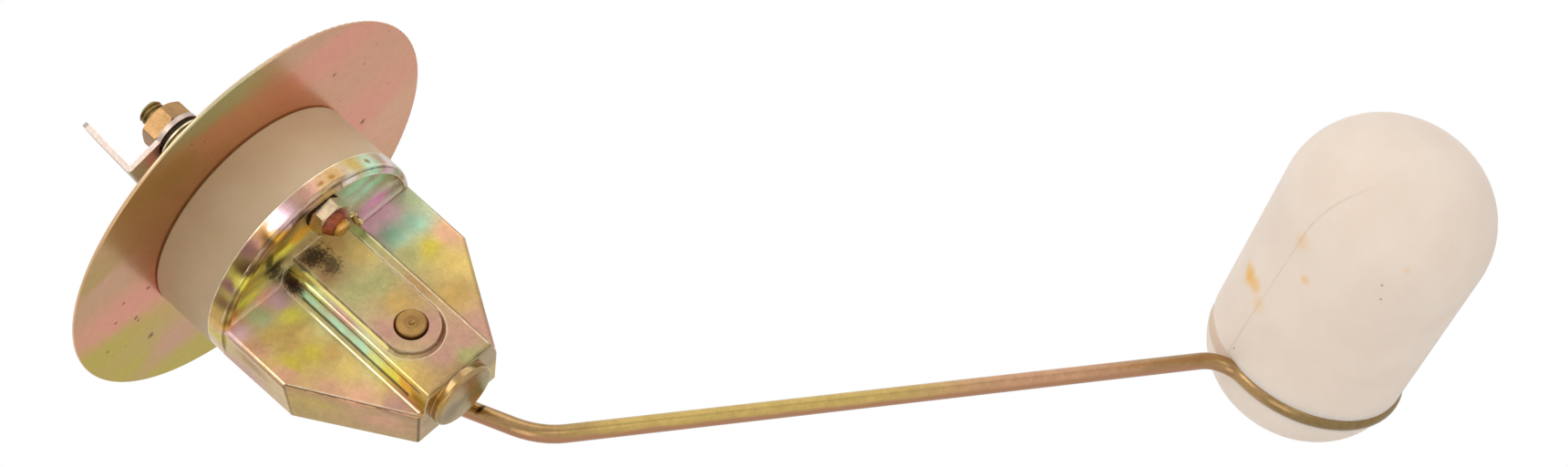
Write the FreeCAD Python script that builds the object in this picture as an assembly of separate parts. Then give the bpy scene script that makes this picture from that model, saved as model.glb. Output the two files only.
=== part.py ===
import FreeCAD, Part
import math
import os

# Fuel level sender: a round flange with a plastic collar and a pressed can under it,
# a resistance element inside, and a float on a bent wire arm that turns a brass spindle.
# Millimetres. The origin is the centre of the flange's tank face, +Z points out of the tank,
# the front of the can faces -Y, and the spindle lies along Y.

Vec = FreeCAD.Vector
X, Y, Z = Vec(1, 0, 0), Vec(0, 1, 0), Vec(0, 0, 1)

# Fits between pieces
slip_gap = 0.05         # radial clearance of a part that slides over another
running_gap = 0.05      # radial clearance of the turning spindle in its bearings
contact_gap = 0.08      # the wiper button from the winding, and a turning face from a still one

# Flange
flange_radius = 34.9
flange_thickness = 0.6
flange_edge_round = 0.25

# Collar
collar_radius = 19.15
collar_length = 11.35
collar_wall = 3.3
collar_web = 3.0
collar_boss_radius = 2.3
collar_top_chamfer = 0.3    # below the flange's face
collar_seat_depth = 0.1     # the collar's top is let into the flange by this much

# Can: a pressed shell of one sheet
sheet = 0.8
can_depth = 2.85        # the shelf lies this far below the collar
rim_bead_width = 1.15
rim_bead_drop = 0.7
rim_outer_round = 1.3
rim_inner_round = 0.3
front_y = -2.6
back_y = 5.1
side_inset = 0.55       # the can's side wall from the collar's widest place
front_shoulder_z = -27.0
back_shoulder_z = -28.5
shoulder_taper = 0.3    # the shoulder lies this much further in at the back
foot_half_width = 8.0
foot_z = -44.7
can_corner_round = 0.65
inner_bend = 0.5        # where the front plate meets the shelf and the rib
rib_height = 4.0
rib_top_half_width = 6.45
rib_base_half_width = 7.5
rib_offset = 0.35       # the rib's middle from the can's, towards +X
rib_round = 0.6
pivot_boss_height = 1.2
pivot_boss_radius = 5.15
pivot_boss_slope = 0.7  # the boss's top is narrower by this much all round
end_boss_radius = 5.6
end_boss_height = 1.5
end_boss_round = 0.6

# Fixing studs through flange, collar and shelf, with their nuts
stud_radius = 1.5
stud_offset = 1.2       # the studs from the middle plane, on opposite sides
stud_inset = 4.55       # the studs from the collar's outside
stud_head_radius = 2.0
stud_head_height = 0.5
stud_tail = 2.1         # the stud's end past its nut
fixing_nut_flats = 5.5
fixing_nut_height = 2.3
fixing_nut_turn = 12.0
fixing_washer_radius = 3.0
fixing_washer_thickness = 0.5
seal_height = 1.35
seal_radius = 2.45
seal_top_radius = 1.75

# Electrical terminal
terminal_x = -5.0
terminal_inset = 5.95   # the terminal from the collar's outside
screw_radius = 2.0
screw_tip_chamfer = 0.35
screw_head_radius = 3.4
screw_head_height = 2.2
screw_tail = 2.6        # the screw's end past its nut
bush_radius = 4.3
bush_neck_radius = 3.0
bush_height = 8.0
bush_edge_round = 0.4
terminal_washer_radius = 4.4
terminal_washer_thickness = 0.5
spring_washer_radius = 3.75
spring_washer_thickness = 0.9
spring_washer_slit = 0.6
spring_washer_turn = 200.0
tab_thickness = 0.8
tab_width = 6.3
tab_eye_radius = 4.1
tab_reach = 9.05        # from the screw's axis to the blade's outer face
tab_height = 11.5
tab_lean = 3.0          # how far the blade leans back over the nut, in degrees
tab_angle = 163.0       # the way the tab points, in degrees from +X
tab_corner = 1.2
terminal_nut_flats = 7.0
terminal_nut_height = 3.2
terminal_nut_turn = 30.0

# Spindle
pivot_z = -34.6
spindle_radius = 2.35
spindle_nose = 0.7      # how far the spindle stands out of the front boss
spindle_nose_round = 0.25
spindle_dimple_radius = 0.55
spindle_dimple_depth = 0.35
bearing_flare = 0.25    # the widened mouth of the bearing hole in the front boss
bush_flange_radius = 4.6
bush_flange_thickness = 0.9
rear_bush_radius = 3.4

# Arm hub, outside the back cover
hub_radius = 5.0
hub_gap = 0.3
hub_round = 0.5
hub_screw_radius = 1.5
hub_screw_head_radius = 2.6
hub_screw_head_height = 1.6
hub_screw_slot = 0.6
hub_screw_turn = 25.0
hub_wall_behind_arm = 2.4

# Arm wire
arm_radius = 1.45
arm_y = 11.4
arm_stub = 1.2          # the wire's end past the hub
arm_first_angle = 22.5  # the first run's angle from straight down
arm_first_run = 21.4    # from the spindle's axis to the first bend
arm_bend_radius = 11.0
arm_neck_radius = 7.0
arm_ring_sweep = 250.0
arm_tip_chamfer = 0.3

# Float, held in the ring at the end of the arm
float_x = 133.9         # the float's place is its axis at the ring
float_y = 56.0
float_z = -119.7
float_lean = -10.5      # roll of the float about the arm's long run
float_radius = 17.85    # at the ring
float_draft = 0.022
float_upper_length = 49.0
float_lower_length = 13.4
float_upper_knuckle = 16.3
float_upper_crown = 24.0
float_lower_knuckle = 14.0
float_lower_crown = 30.0
ring_radius = 17.0      # the wire's centre line round the float
groove_gap = 0.1

# Resistance element and wiper
card_margin = 1.4       # the card's outer edge from the can's side
card_width = 4.2
card_thickness = 1.2
card_half_angle = 58.0
winding_half_angle = 45.0
winding_thickness = 0.25
winding_overlap = 0.25
spacer_radius = 1.8
card_rivet_radius = 0.9
card_rivet_head_radius = 1.5
card_rivet_head_height = 1.5
card_rivet_angle = 53.0
card_stand_off = 1.6    # the card from the back cover
wiper_angle = -9.0      # where the wiper points at rest, from +Z towards +X
wiper_hub_radius = 4.0
wiper_hub_length = 2.4
wiper_thickness = 0.4
wiper_root_width = 4.0
wiper_tip_width = 2.4
button_radius = 0.8
button_head_radius = 1.1
button_head_height = 0.35

# Lead from the terminal to the winding
lead_radius = 0.6
lead_bend_radius = 3.2
lead_tag_radius = 3.3
lead_tag_tail = 6.2
lead_tag_tail_width = 2.4
lead_tag_thickness = 0.5

# Levels and places that follow from the sizes above
flange_top = flange_thickness
collar_bottom = -collar_length
shelf_z = collar_bottom - can_depth
rim_bottom = shelf_z - rim_bead_drop
spigot_bottom = shelf_z + sheet
side_half_width = collar_radius - side_inset
stud_y = collar_radius - stud_inset
stud_places = {"front": (stud_offset, -stud_y), "rear": (-stud_offset, stud_y)}
rib_y = front_y - rib_height
boss_y = rib_y - pivot_boss_height
cover_front_y = back_y - sheet
spigot_radius = collar_radius - sheet
collar_bore_radius = collar_radius - collar_wall
terminal = Vec(terminal_x, terminal_inset - collar_radius, 0)
bush_top = flange_top + bush_height
washer_top = bush_top + terminal_washer_thickness
spring_top = washer_top + spring_washer_thickness
tab_top = spring_top + tab_thickness
terminal_nut_top = tab_top + terminal_nut_height
card_back_y = cover_front_y - card_stand_off
card_front_y = card_back_y - card_thickness
winding_front_y = card_front_y - winding_thickness
button_tip_y = winding_front_y - contact_gap
wiper_back_y = button_tip_y - button_head_height
card_outer_radius = side_half_width - card_margin
card_inner_radius = card_outer_radius - card_width
card_middle_radius = card_outer_radius - card_width / 2
rear_bush_back_y = back_y + bush_flange_thickness
hub_front_y = rear_bush_back_y + hub_gap
hub_back_y = arm_y + arm_radius + hub_wall_behind_arm
spindle_back_y = arm_y - arm_radius
float_place = Vec(float_x, float_y, float_z)


def cylinder(radius, start, end):
    """A round bar from one point to another."""
    return Part.makeCylinder(radius, (end - start).Length, start, end - start)


def tube(outer_radius, inner_radius, start, end):
    return cylinder(outer_radius, start, end).cut(cylinder(inner_radius, start, end))


def edges_at(shape, test):
    """The edges of a shape whose centre passes a test."""
    return [edge for edge in shape.Edges if test(edge.CenterOfMass)]


def round_edges(shape, radius, test):
    return shape.makeFillet(radius, edges_at(shape, test))


def prism(points, direction):
    """A straight solid with a closed outline of points."""
    face = Part.Face(Part.makePolygon(points + [points[0]]))
    return face.extrude(direction)


def hexagon_nut(flats, height, bore_radius, base, axis, turn):
    """A nut with both faces chamfered at 30 degrees, standing on base along axis."""
    corner = flats / 2 / math.cos(math.radians(30))
    points = [Vec(corner * math.cos(math.radians(60 * k + turn)),
                  corner * math.sin(math.radians(60 * k + turn)), 0) for k in range(6)]
    blank = prism(points, Z * height)
    clear = 1.1 * corner
    slope = (clear - flats / 2) * math.tan(math.radians(30))
    outline = [Vec(0, 0, 0), Vec(flats / 2, 0, 0), Vec(clear, 0, slope),
               Vec(clear, 0, height - slope), Vec(flats / 2, 0, height), Vec(0, 0, height)]
    turned = Part.Face(Part.makePolygon(outline + [outline[0]])).revolve(Vec(0, 0, 0), Z, 360)
    nut = blank.common(turned).cut(Part.makeCylinder(bore_radius, height))
    nut.Placement = FreeCAD.Placement(base, FreeCAD.Rotation(Z, axis))
    return nut


def at_angle(radius, angle, y):
    """A point round the spindle, at an angle from +Z towards +X."""
    turn = math.radians(angle)
    return Vec(radius * math.sin(turn), y, pivot_z + radius * math.cos(turn))


def sector(inner_radius, outer_radius, half_angle, front, back):
    """A flat ring sector round the spindle, centred on +Z."""
    outer_arc = Part.Arc(at_angle(outer_radius, -half_angle, front), at_angle(outer_radius, 0, front),
                         at_angle(outer_radius, half_angle, front)).toShape()
    inner_arc = Part.Arc(at_angle(inner_radius, half_angle, front), at_angle(inner_radius, 0, front),
                         at_angle(inner_radius, -half_angle, front)).toShape()
    sides = [Part.makeLine(at_angle(outer_radius, half_angle, front),
                           at_angle(inner_radius, half_angle, front)),
             Part.makeLine(at_angle(inner_radius, -half_angle, front),
                           at_angle(outer_radius, -half_angle, front))]
    outline = Part.Wire([outer_arc, sides[0], inner_arc, sides[1]])
    return Part.Face(outline).extrude(Vec(0, back - front, 0))


def inset_line(start, end, inset):
    """The line through two points of the XZ plane moved to its left by inset: normal and reach."""
    run = (end - start).normalize()
    normal = Vec(-run.z, 0, run.x)
    return normal, normal.dot(start) + inset


def meeting_point(one, other):
    """Where two lines of the XZ plane cross, each given by its normal and reach."""
    (a, p), (b, q) = one, other
    scale = a.x * b.z - a.z * b.x
    return Vec((p * b.z - q * a.z) / scale, 0, (a.x * q - b.x * p) / scale)


def box_outline(inset, top, y):
    """The can's six-sided section at a depth, drawn in by inset except at the top."""
    share = (y - front_y) / (back_y - front_y)
    shoulder_x = side_half_width - shoulder_taper * share
    shoulder_z = front_shoulder_z + (back_shoulder_z - front_shoulder_z) * share
    top_corner = Vec(-side_half_width, 0, collar_bottom)
    shoulder = Vec(-shoulder_x, 0, shoulder_z)
    foot_corner = Vec(-foot_half_width, 0, foot_z)
    side = inset_line(top_corner, shoulder, inset)
    slant = inset_line(shoulder, foot_corner, inset)
    left = [meeting_point((Z, top), side), meeting_point(side, slant),
            meeting_point(slant, (Z, foot_z + inset))]
    right = [Vec(-point.x, 0, point.z) for point in reversed(left)]
    return [point + Y * y for point in left + right]


def box_solid(inset, top, front, back):
    sections = [box_outline(inset, top, y) for y in (front, back)]
    wires = [Part.makePolygon(points + [points[0]]) for points in sections]
    return Part.makeLoft(wires, True, True)


def rib_prism(inset, top):
    """The raised channel down the middle of the front, with sloping sides."""
    draft = (rib_base_half_width - rib_top_half_width) / rib_height
    thinner = inset * math.hypot(1, draft)
    crest_x = rib_top_half_width - thinner + draft * inset
    mouth_x = rib_base_half_width - thinner + draft * inset
    depths = [(crest_x, rib_y + inset), (mouth_x, front_y + inset), (mouth_x, (front_y + back_y) / 2)]
    bottom = foot_z + inset
    points = [Vec(x, y, bottom) for x, y in depths] + [Vec(-x, y, bottom) for x, y in reversed(depths)]
    return prism([point + X * rib_offset for point in points], Z * (top - bottom))


def pivot_boss(inset, top):
    """The low boss on the rib, round at the spindle and running up to the shelf, with sloping sides."""
    foot = pivot_boss_radius - inset
    side = [Vec(foot, rib_y + rib_height / 2, pivot_z), Vec(foot, rib_y + inset, pivot_z),
            Vec(foot - pivot_boss_slope, boss_y + inset, pivot_z)]
    middle = [Vec(0, side[-1].y, pivot_z), Vec(0, side[0].y, pivot_z)]
    outline = side + middle
    turned = Part.Face(Part.makePolygon(outline + [outline[0]])).revolve(middle[0], Y, 360)
    run = prism(side + [Vec(-point.x, point.y, point.z) for point in reversed(side)], Z * (top - pivot_z))
    return turned.fuse(run)


def end_boss(inset):
    """The round boss pressed out of the foot."""
    middle_y = (rib_y + back_y) / 2
    start = Vec(0, middle_y, foot_z + sheet + 1)
    end = Vec(0, middle_y, foot_z - end_boss_height + inset)
    return cylinder(end_boss_radius - inset, start, end)


def shelf_bend(middle_x, half_length, y):
    """The inner bend along X where a front face at y meets the shelf."""
    side = inner_bend + sheet / 2
    start = Vec(middle_x - half_length, y - inner_bend, shelf_z - inner_bend)
    block = Part.makeBox(2 * half_length, side, side, start)
    return block.cut(cylinder(inner_bend, start, start + X * 2 * half_length))


def rib_bends(top):
    """The inner bends along both sides of the rib, where it rises out of the front plate."""
    slope = Vec(rib_top_half_width - rib_base_half_width, -rib_height, 0).normalize()
    bottom = foot_z + can_corner_round
    corner = Vec(rib_offset + rib_base_half_width, front_y, bottom)
    reach = inner_bend / math.tan(slope.getAngle(X) / 2)
    on_plate, on_slope = corner + X * reach, corner + slope * reach
    centre = on_plate - Y * inner_bend
    middle = centre + (corner - centre).normalize() * inner_bend
    behind = [on_slope - X * sheet / 2, Vec(on_slope.x - sheet / 2, front_y + sheet / 2, bottom),
              on_plate + Y * sheet / 2, on_plate]
    edges = [Part.Arc(on_plate, middle, on_slope).toShape()]
    edges += [Part.makeLine(a, b) for a, b in zip([on_slope] + behind, behind)]
    bend = Part.Face(Part.Wire(edges)).extrude(Z * (top - bottom))
    return [bend, bend.mirror(Vec(rib_offset, 0, 0), X)]


def can_outside():
    wall = cylinder(collar_radius, Vec(0, 0, collar_bottom), Vec(0, 0, rim_bottom))
    wall = round_edges(wall, rim_outer_round, lambda c: c.z < rim_bottom + 0.1)
    recess = cylinder(collar_radius - rim_bead_width, Vec(0, 0, shelf_z), Vec(0, 0, rim_bottom))
    recess = round_edges(recess, rim_inner_round, lambda c: c.z > shelf_z - 0.1)
    cup = wall.cut(recess)
    joint_z = shelf_z + sheet / 2
    box = box_solid(0, joint_z, front_y, back_y)
    box = round_edges(box, can_corner_round,
                      lambda c: c.z < joint_z - 0.1 and c.y < back_y - 0.1)
    rib = round_edges(rib_prism(0, joint_z), rib_round,
                      lambda c: abs(c.y - rib_y) < 0.1 and c.z < joint_z - 0.1)
    boss = pivot_boss(0, joint_z)
    foot = round_edges(end_boss(0), end_boss_round, lambda c: c.z < foot_z - end_boss_height + 0.1)
    bends = rib_bends(joint_z) + [
        shelf_bend(0, collar_radius - rim_bead_width, front_y),
        shelf_bend(rib_offset, rib_top_half_width, rib_y),
        shelf_bend(0, pivot_boss_radius - pivot_boss_slope, boss_y)]
    return cup.fuse([box, rib, boss, foot] + bends)


def can_inside():
    cup = cylinder(spigot_radius, Vec(0, 0, collar_bottom), Vec(0, 0, spigot_bottom))
    box = box_solid(sheet, spigot_bottom, front_y + sheet, back_y)
    rib = rib_prism(sheet, spigot_bottom)
    boss = pivot_boss(sheet, spigot_bottom)
    return cup.fuse([box, rib, boss, end_boss(sheet)])


def housing_shell():
    shell = can_outside().cut(can_inside())
    behind = Part.makeBox(4 * collar_radius, 4 * collar_radius, 2 * abs(foot_z),
                          Vec(-2 * collar_radius, back_y, shelf_z - 2 * abs(foot_z)))
    shell = shell.cut(behind.cut(cylinder(collar_radius, Vec(0, 0, shelf_z), Vec(0, 0, rim_bottom))))
    bore = spindle_radius + running_gap
    bearing = cylinder(bore, Vec(0, boss_y, pivot_z), Vec(0, front_y, pivot_z))
    mouth = Part.makeCone(bore + bearing_flare, bore, bearing_flare, Vec(0, boss_y, pivot_z), Y)
    holes = [cylinder(stud_radius + slip_gap, Vec(x, y, spigot_bottom), Vec(x, y, shelf_z - sheet))
             for x, y in stud_places.values()]
    return shell.cut([bearing, mouth] + holes).removeSplitter()


def back_cover():
    cover = box_solid(sheet + slip_gap, spigot_bottom - slip_gap, cover_front_y, back_y)
    rivets = [cylinder(card_rivet_radius, at_angle(card_middle_radius, side * card_rivet_angle, front_y),
                       at_angle(card_middle_radius, side * card_rivet_angle, back_y))
              for side in (-1, 1)]
    bore = cylinder(rear_bush_radius, Vec(0, front_y, pivot_z), Vec(0, back_y, pivot_z))
    return cover.cut([bore] + rivets)


def flange_plate():
    plate = cylinder(flange_radius, Vec(0, 0, 0), Vec(0, 0, flange_top))
    plate = plate.makeFillet(flange_edge_round, plate.Edges)
    seat = cylinder(collar_radius + slip_gap, Vec(0, 0, 0), Vec(0, 0, collar_seat_depth))
    neck = cylinder(bush_neck_radius + slip_gap, terminal, terminal + Z * flange_top)
    holes = [cylinder(stud_radius + slip_gap, Vec(x, y, 0), Vec(x, y, flange_top))
             for x, y in stud_places.values()]
    return plate.cut([seat, neck] + holes)


def collar():
    top = collar_seat_depth
    body = cylinder(collar_radius, Vec(0, 0, top), Vec(0, 0, collar_bottom))
    body = body.makeChamfer(collar_top_chamfer + top, edges_at(body, lambda c: c.z > top / 2))
    spigot = cylinder(spigot_radius - slip_gap, Vec(0, 0, collar_bottom), Vec(0, 0, spigot_bottom))
    web_bottom = -collar_web
    hollow = cylinder(collar_bore_radius, Vec(0, 0, web_bottom), Vec(0, 0, spigot_bottom))
    bosses = [cylinder(collar_boss_radius, Vec(x, y, web_bottom), Vec(x, y, spigot_bottom))
              for x, y in stud_places.values()]
    ring = body.fuse(spigot).cut(hollow.cut(bosses[0].fuse(bosses[1])))
    pocket = cylinder(screw_head_radius + 2 * slip_gap, terminal + Z * web_bottom,
                      terminal + Z * spigot_bottom)
    pocket = pocket.cut(bosses[0])
    bore = cylinder(screw_radius + slip_gap, terminal + Z * top, terminal + Z * web_bottom)
    holes = [cylinder(stud_radius + slip_gap, Vec(x, y, top), Vec(x, y, spigot_bottom))
             for x, y in stud_places.values()]
    return ring.cut([pocket, bore] + holes)


def fixing_stud(place):
    x, y = place
    nut_face = shelf_z - fixing_washer_thickness - fixing_nut_height
    shank = cylinder(stud_radius, Vec(x, y, flange_top), Vec(x, y, nut_face - stud_tail))
    shank = round_edges(shank, stud_radius / 4, lambda c: c.z < nut_face - stud_tail + 0.1)
    head = cylinder(stud_head_radius, Vec(x, y, flange_top), Vec(x, y, flange_top + stud_head_height))
    head = round_edges(head, stud_head_height / 2, lambda c: c.z > flange_top + stud_head_height - 0.1)
    return shank.fuse(head).removeSplitter()


def fixing_washer(place):
    x, y = place
    return tube(fixing_washer_radius, stud_radius + slip_gap, Vec(x, y, shelf_z),
                Vec(x, y, shelf_z - fixing_washer_thickness))


def fixing_nut(place):
    x, y = place
    return hexagon_nut(fixing_nut_flats, fixing_nut_height, stud_radius + slip_gap / 2,
                       Vec(x, y, shelf_z - fixing_washer_thickness), -Z, fixing_nut_turn)


def lacquer_seal(place):
    """The drop of red lacquer that locks a nut to its stud."""
    x, y = place
    top = shelf_z - fixing_washer_thickness - fixing_nut_height
    cone = Part.makeCone(seal_radius, seal_top_radius, seal_height, Vec(x, y, top), -Z)
    cone = round_edges(cone, seal_top_radius / 8, lambda c: c.z < top - seal_height + 0.1)
    return cone.cut(cylinder(stud_radius, Vec(x, y, top), Vec(x, y, top - seal_height)))


def terminal_bush():
    barrel = cylinder(bush_radius, terminal + Z * flange_top, terminal + Z * bush_top)
    barrel = round_edges(barrel, bush_edge_round, lambda c: c.z > bush_top - 0.1)
    neck = cylinder(bush_neck_radius, terminal + Z * collar_seat_depth, terminal + Z * flange_top)
    bore = cylinder(screw_radius + slip_gap, terminal, terminal + Z * bush_top)
    return barrel.fuse(neck).cut(bore)


def terminal_screw():
    head_top = -collar_web - lead_tag_thickness
    head = cylinder(screw_head_radius, terminal + Z * head_top,
                    terminal + Z * (head_top - screw_head_height))
    head = round_edges(head, screw_head_height / 5, lambda c: c.z < head_top - screw_head_height + 0.1)
    slot = Part.makeBox(3 * screw_head_radius, screw_head_height / 3, screw_head_height,
                        terminal + Vec(-1.5 * screw_head_radius, -screw_head_height / 6,
                                       head_top - 1.5 * screw_head_height))
    tip = terminal_nut_top + screw_tail
    shank = cylinder(screw_radius, terminal + Z * head_top, terminal + Z * tip)
    shank = shank.makeChamfer(screw_tip_chamfer, edges_at(shank, lambda c: c.z > tip - 0.1))
    return head.cut(slot).fuse(shank)


def terminal_washer():
    return tube(terminal_washer_radius, screw_radius + slip_gap, terminal + Z * bush_top,
                terminal + Z * washer_top)


def spring_washer():
    """A split ring with a slanting slit."""
    ring = tube(spring_washer_radius, screw_radius + slip_gap, terminal + Z * washer_top,
                terminal + Z * spring_top)
    rise = spring_top - washer_top
    slit = prism([terminal + Vec(0, -spring_washer_slit - rise, washer_top),
                  terminal + Vec(0, -rise, washer_top),
                  terminal + Vec(0, spring_washer_slit, spring_top),
                  terminal + Vec(0, 0, spring_top)], X * (spring_washer_radius + 1))
    slit.rotate(terminal, Z, spring_washer_turn)
    return ring.cut(slit)


def spade_terminal():
    """A ring tag with its tail folded up into a blade for a push-on connector."""
    lean = math.radians(tab_lean)
    up = Vec(-math.sin(lean), 0, math.cos(lean))
    fold = Vec(tab_reach, -tab_width / 2, spring_top)
    outer_tip = fold + up * tab_height
    inner_tip = outer_tip - Vec(math.cos(lean), 0, math.sin(lean)) * tab_thickness
    rise = (inner_tip.z - tab_top) / up.z
    profile = [Vec(0, fold.y, spring_top), fold, outer_tip, inner_tip, inner_tip - up * rise,
               Vec(0, fold.y, tab_top)]
    folded = prism(profile, Y * tab_width)
    folded = round_edges(folded, tab_thickness * 0.75, lambda c: (c - fold).cross(Y).Length < 0.05)
    folded = folded.makeChamfer(tab_corner, edges_at(
        folded, lambda c: (c - outer_tip).cross(Y).Length < tab_thickness
        and abs(c.y) > tab_width / 2 - 0.05))
    eye = cylinder(tab_eye_radius, Z * spring_top, Z * tab_top)
    hole = cylinder(screw_radius + slip_gap, Z * spring_top, Z * tab_top)
    tag = folded.fuse(eye).cut(hole)
    tag.Placement = FreeCAD.Placement(terminal, FreeCAD.Rotation(Z, tab_angle))
    return tag


def terminal_nut():
    return hexagon_nut(terminal_nut_flats, terminal_nut_height, screw_radius + slip_gap / 2,
                       terminal + Z * tab_top, Z, terminal_nut_turn)


def lead_tag():
    """The ring tag under the screw's head, inside the collar, with a tail towards the middle."""
    top = terminal - Z * collar_web
    bottom = top - Z * lead_tag_thickness
    eye = cylinder(lead_tag_radius, top, bottom)
    tail = Part.makeBox(lead_tag_tail_width, lead_tag_tail, lead_tag_thickness,
                        bottom - X * (lead_tag_tail_width / 2))
    return eye.fuse(tail).cut(cylinder(screw_radius + slip_gap, top, bottom))


def rounded_path(points, radii):
    """Straight runs through the points, with an arc of the given radius at each inner one."""
    edges = []
    start = points[0]
    for before, corner, after, radius in zip(points, points[1:], points[2:], radii):
        into = (corner - before).normalize()
        out = (after - corner).normalize()
        turn = into.getAngle(out)
        reach = radius * math.tan(turn / 2)
        first, last = corner - into * reach, corner + out * reach
        bisector = (out - into).normalize()
        centre = corner + bisector * (radius / math.cos(turn / 2))
        middle = centre - bisector * radius
        edges.append(Part.makeLine(start, first))
        edges.append(Part.Arc(first, middle, last).toShape())
        start = last
    edges.append(Part.makeLine(start, points[-1]))
    return edges


def round_wire(edges, radius):
    """A round wire along a path of lines and arcs that meet without a corner."""
    path = Part.Wire(edges)
    first = edges[0]
    start = first.valueAt(first.FirstParameter)
    circle = Part.Wire(Part.makeCircle(radius, start, first.tangentAt(first.FirstParameter)))
    return path.makePipeShell([circle], True, False)


def lead_wire():
    """The lead soldered under the tag's tail, which ends on the winding's outer edge."""
    start = terminal + Vec(0, lead_tag_tail - 1.5 * lead_radius, -collar_web - lead_tag_thickness)
    below = Vec(start.x, start.y, collar_bottom + 2 * lead_radius)
    winding_radius = card_outer_radius + winding_overlap
    drop = at_angle(winding_radius, -winding_half_angle / 2, card_back_y)
    over = Vec(drop.x, drop.y, below.z)
    touch = math.sqrt(winding_radius ** 2 - (abs(drop.x) - lead_radius) ** 2)
    edges = rounded_path([start, below, over, Vec(drop.x, drop.y, pivot_z + touch)],
                         [lead_bend_radius] * 2)
    return round_wire(edges, lead_radius)


def resistance_card():
    card = sector(card_inner_radius, card_outer_radius, card_half_angle, card_front_y, card_back_y)
    rivets = [cylinder(card_rivet_radius, at_angle(card_middle_radius, side * card_rivet_angle, boss_y),
                       at_angle(card_middle_radius, side * card_rivet_angle, back_y))
              for side in (-1, 1)]
    return card.cut(rivets)


def resistance_winding():
    """The fine wire wound round the card, as one closed sleeve."""
    sleeve = sector(card_inner_radius - winding_overlap, card_outer_radius + winding_overlap,
                    winding_half_angle, winding_front_y, card_back_y + winding_thickness)
    return sleeve.cut(sector(card_inner_radius, card_outer_radius, card_half_angle,
                             card_front_y, card_back_y))


def card_spacers():
    return Part.makeCompound([
        tube(spacer_radius, card_rivet_radius,
             at_angle(card_middle_radius, side * card_rivet_angle, card_back_y),
             at_angle(card_middle_radius, side * card_rivet_angle, cover_front_y))
        for side in (-1, 1)])


def card_rivets():
    """Two rivets that hold the card, with long heads that stop the wiper at each end."""
    rivets = []
    for side in (-1, 1):
        angle = side * card_rivet_angle
        shank = cylinder(card_rivet_radius, at_angle(card_middle_radius, angle, card_front_y),
                         at_angle(card_middle_radius, angle, back_y))
        head = cylinder(card_rivet_head_radius, at_angle(card_middle_radius, angle, card_front_y),
                        at_angle(card_middle_radius, angle, card_front_y - card_rivet_head_height))
        tail = cylinder(card_rivet_head_radius, at_angle(card_middle_radius, angle, back_y),
                        at_angle(card_middle_radius, angle, back_y + card_rivet_head_height / 3))
        rivets.append(shank.fuse([head, tail]).removeSplitter())
    return Part.makeCompound(rivets)


def rear_bush():
    """The brass bearing in the back cover, flanged on the outside."""
    bush = cylinder(rear_bush_radius, Vec(0, cover_front_y, pivot_z), Vec(0, back_y, pivot_z))
    lip = cylinder(bush_flange_radius, Vec(0, back_y, pivot_z), Vec(0, rear_bush_back_y, pivot_z))
    lip = round_edges(lip, bush_flange_thickness / 3, lambda c: c.y > rear_bush_back_y - 0.1)
    bore = cylinder(spindle_radius + running_gap, Vec(0, cover_front_y, pivot_z),
                    Vec(0, rear_bush_back_y, pivot_z))
    return bush.fuse(lip).cut(bore).removeSplitter()


def pivot_spindle():
    nose_y = boss_y - spindle_nose
    bar = cylinder(spindle_radius, Vec(0, nose_y, pivot_z), Vec(0, spindle_back_y, pivot_z))
    bar = round_edges(bar, spindle_nose_round, lambda c: c.y < nose_y + 0.1)
    dimple = Part.makeCone(spindle_dimple_radius, 0, spindle_dimple_depth,
                           Vec(0, nose_y, pivot_z), Y)
    return bar.cut(dimple)


def wiper_hub():
    back = wiper_back_y - wiper_thickness
    return tube(wiper_hub_radius, spindle_radius, Vec(0, back - wiper_hub_length, pivot_z),
                Vec(0, back, pivot_z))


def wiper_blade():
    """A springy blade on the spindle, tapering to the contact button."""
    front = wiper_back_y - wiper_thickness
    length = card_middle_radius
    points = [Vec(-wiper_root_width / 2, front, pivot_z), Vec(wiper_root_width / 2, front, pivot_z),
              Vec(wiper_tip_width / 2, front, pivot_z + length),
              Vec(-wiper_tip_width / 2, front, pivot_z + length)]
    blade = prism(points, Vec(0, wiper_thickness, 0))
    ends = [cylinder(wiper_hub_radius, Vec(0, front, pivot_z), Vec(0, wiper_back_y, pivot_z)),
            cylinder(wiper_tip_width / 2, Vec(0, front, pivot_z + length),
                     Vec(0, wiper_back_y, pivot_z + length))]
    blade = blade.fuse(ends).cut(
        [cylinder(spindle_radius, Vec(0, front, pivot_z), Vec(0, wiper_back_y, pivot_z)),
         cylinder(button_radius, Vec(0, front, pivot_z + length),
                  Vec(0, wiper_back_y, pivot_z + length))])
    blade.rotate(Vec(0, 0, pivot_z), Y, wiper_angle)
    return blade.removeSplitter()


def wiper_contact():
    """The silver button at the blade's tip, riveted through it."""
    front = wiper_back_y - wiper_thickness
    centre = at_angle(card_middle_radius, wiper_angle, 0)
    shank = cylinder(button_radius, centre + Y * front, centre + Y * wiper_back_y)
    head = cylinder(button_head_radius, centre + Y * wiper_back_y, centre + Y * button_tip_y)
    tail = cylinder(button_head_radius, centre + Y * (front - button_head_height), centre + Y * front)
    head = round_edges(head, button_head_height / 2, lambda c: c.y > button_tip_y - 0.05)
    return shank.fuse([head, tail]).removeSplitter()


def arm_direction():
    turn = math.radians(arm_first_angle)
    return Vec(math.sin(turn), 0, -math.cos(turn))


def arm_frame():
    """The first bend, the long run's direction, the float's axis and the ring's third direction."""
    bend = Vec(0, arm_y, pivot_z) + arm_direction() * arm_first_run
    along = (float_place - bend).normalize()
    level = -Y - along * along.dot(-Y)
    level.normalize()
    lean = FreeCAD.Rotation(along, float_lean)
    axis = lean.multVec(level)
    return bend, along, axis, axis.cross(along)


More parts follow.
